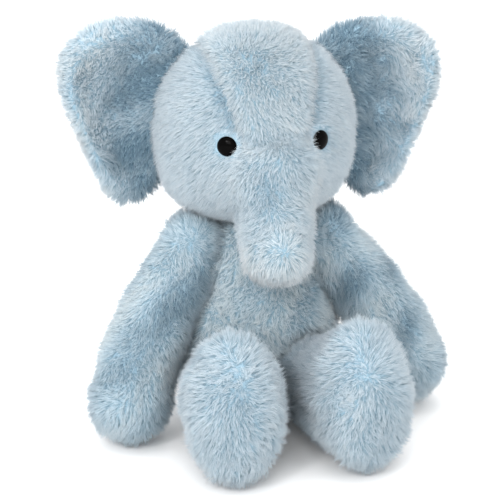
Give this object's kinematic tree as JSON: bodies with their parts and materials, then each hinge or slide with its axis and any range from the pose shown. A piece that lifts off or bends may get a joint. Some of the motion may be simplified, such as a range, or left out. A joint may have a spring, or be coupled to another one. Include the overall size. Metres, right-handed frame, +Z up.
{
  "type": "stuffed elephant",
  "caption": "Seated long-pile plush elephant with big bowl-shaped ears, a short two-part trunk, glossy button eyes and loose jointed limbs.",
  "frame": {"origin": "middle of the flat seat, on the surface that it sits on", "axes": "+Z up through the head, -Y out of the face towards the feet, +X to the elephant's own left"},
  "size_m": [0.2558, 0.2127, 0.2749],
  "materials": {
    "plush": "long soft pile, matt, pale tips over blue-grey roots",
    "body_plush": "long soft pile, matt, a little deeper blue",
    "eye": "high gloss, domed",
    "washer": "matt moulded",
    "stuffing": "loose polyester fibre",
    "pellet_bag": "plain woven cotton over pellets"
  },
  "bodies": {
    "torso": {"torso_front": "body_plush", "torso_back": "body_plush", "torso_seat": "body_plush", "torso_stuffing": "stuffing", "seat_pellet_bag": "pellet_bag"},
    "neck": {"neck_stuffing": "stuffing"},
    "head": {"head_side_left": "plush", "head_side_right": "plush", "head_gusset": "plush", "head_back": "plush", "head_stuffing": "stuffing", "eye_left": "eye", "eye_right": "eye", "eye_washer_left": "washer", "eye_washer_right": "washer"},
    "trunk_base": {"trunk_base_top": "plush", "trunk_base_under": "plush", "trunk_base_stuffing": "stuffing"},
    "trunk_tip": {"trunk_tip_top": "plush", "trunk_tip_under": "plush", "trunk_tip_stuffing": "stuffing"},
    "tail": {"tail": "body_plush"},
    "ear_left": {"ear_left_front": "plush", "ear_left_back": "plush", "ear_left_wadding": "stuffing"},
    "shoulder_left": {"shoulder_left_stuffing": "stuffing"},
    "arm_left": {"arm_left_outer": "plush", "arm_left_inner": "plush", "arm_left_stuffing": "stuffing"},
    "hip_left": {"hip_left_stuffing": "stuffing"},
    "leg_left": {"leg_left_upper": "plush", "leg_left_lower": "plush", "leg_left_foot": "plush", "leg_left_stuffing": "stuffing"},
    "ear_right": {"ear_right_front": "plush", "ear_right_back": "plush", "ear_right_wadding": "stuffing"},
    "shoulder_right": {"shoulder_right_stuffing": "stuffing"},
    "arm_right": {"arm_right_outer": "plush", "arm_right_inner": "plush", "arm_right_stuffing": "stuffing"},
    "hip_right": {"hip_right_stuffing": "stuffing"},
    "leg_right": {"leg_right_upper": "plush", "leg_right_lower": "plush", "leg_right_foot": "plush", "leg_right_stuffing": "stuffing"}
  },
  "joints": [
    {"name": "neck_turn", "type": "hinge", "parent": "torso", "child": "neck", "pos_m": [0, 0.002, 0.146], "axis": [0, 0, 1], "range_deg": [-35, 35]},
    {"name": "head_nod", "type": "hinge", "parent": "neck", "child": "head", "pos_m": [0, 0.002, 0.146], "axis": [-1, 0, 0], "range_deg": [-18, 18]},
    {"name": "trunk_bend", "type": "hinge", "parent": "head", "child": "trunk_base", "pos_m": [0, -0.046, 0.184], "axis": [1, 0, 0], "range_deg": [-22, 12]},
    {"name": "trunk_tip_bend", "type": "hinge", "parent": "trunk_base", "child": "trunk_tip", "pos_m": [-0.001, -0.06, 0.159], "axis": [1, 0, 0], "range_deg": [-28, 22]},
    {"name": "ear_left_fold", "type": "hinge", "parent": "head", "child": "ear_left", "pos_m": [0.0675, 0.016, 0.166], "axis": [0.1871, 0, -0.9823], "range_deg": [-25, 18]},
    {"name": "arm_left_swing", "type": "hinge", "parent": "torso", "child": "shoulder_left", "pos_m": [0.046, -0.008, 0.127], "axis": [-1, 0, 0], "range_deg": [-35, 70]},
    {"name": "arm_left_lift", "type": "hinge", "parent": "shoulder_left", "child": "arm_left", "pos_m": [0.046, -0.008, 0.127], "axis": [0, -1, 0], "range_deg": [-5, 35]},
    {"name": "leg_left_splay", "type": "hinge", "parent": "torso", "child": "hip_left", "pos_m": [0.029, -0.034, 0.037], "axis": [0, 0, 1], "range_deg": [0, 15]},
    {"name": "leg_left_swing", "type": "hinge", "parent": "hip_left", "child": "leg_left", "pos_m": [0.029, -0.034, 0.037], "axis": [-1, 0, 0], "range_deg": [-60, 20]},
    {"name": "ear_right_fold", "type": "hinge", "parent": "head", "child": "ear_right", "pos_m": [-0.066, 0.016, 0.172], "axis": [0.1871, 0, 0.9823], "range_deg": [-20, 25]},
    {"name": "arm_right_swing", "type": "hinge", "parent": "torso", "child": "shoulder_right", "pos_m": [-0.046, -0.008, 0.127], "axis": [-1, 0, 0], "range_deg": [-45, 60]},
    {"name": "arm_right_lift", "type": "hinge", "parent": "shoulder_right", "child": "arm_right", "pos_m": [-0.046, -0.008, 0.127], "axis": [0, 1, 0], "range_deg": [0, 40]},
    {"name": "leg_right_splay", "type": "hinge", "parent": "torso", "child": "hip_right", "pos_m": [-0.029, -0.034, 0.037], "axis": [0, 0, -1], "range_deg": [0, 15]},
    {"name": "leg_right_swing", "type": "hinge", "parent": "hip_right", "child": "leg_right", "pos_m": [-0.029, -0.034, 0.037], "axis": [-1, 0, 0], "range_deg": [-60, 20]},
    {"name": "tail_wag", "type": "hinge", "parent": "torso", "child": "tail", "pos_m": [0, 0.05, 0.042], "axis": [0, 0, 1], "range_deg": [-30, 30]}
  ]
}
